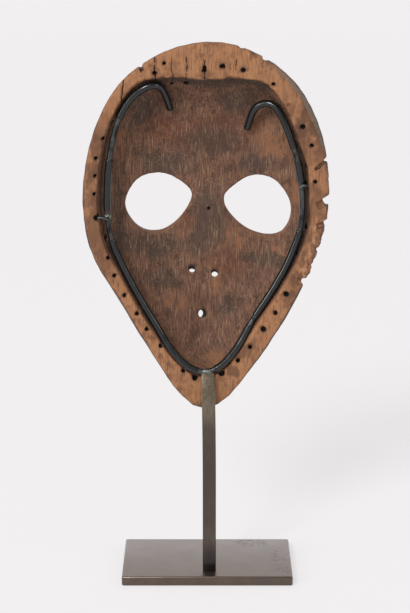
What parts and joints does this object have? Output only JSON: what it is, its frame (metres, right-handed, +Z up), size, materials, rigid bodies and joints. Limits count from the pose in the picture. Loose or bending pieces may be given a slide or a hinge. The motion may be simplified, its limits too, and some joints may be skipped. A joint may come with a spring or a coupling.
{
  "type": "carved wooden face mask on a metal display stand",
  "caption": "Carved wooden oval face mask with round open eyes, a hollow back and a laced rim, held from behind by a bent rod cradle on a flat bar and rectangular base plate.",
  "frame": {"origin": "centre of the base plate's underside, on the surface that the stand rests on", "axes": "+Z up, +Y the way the face looks, +X to the right as seen from behind the mask"},
  "size_m": [0.1615, 0.0705, 0.3676],
  "materials": {
    "carved_wood": "carved hardwood, raw on the back and dark patinated on the face",
    "patinated_steel": "dark bronze patina, satin",
    "dark_rod": "dark patinated rod, satin",
    "black_sleeve": "black soft sleeve, slightly glossy"
  },
  "bodies": {
    "root": {"mask": "carved_wood", "base_plate": "patinated_steel", "upright_bar": "patinated_steel", "cradle_rod": "dark_rod", "left_claw": "dark_rod", "right_claw": "dark_rod", "left_hook_sleeve": "black_sleeve", "left_side_sleeve": "black_sleeve", "left_arm_sleeve": "black_sleeve", "right_foot_sleeve": "black_sleeve", "right_arm_sleeve": "black_sleeve", "right_side_sleeve": "black_sleeve", "right_hook_sleeve": "black_sleeve"}
  },
  "joints": []
}
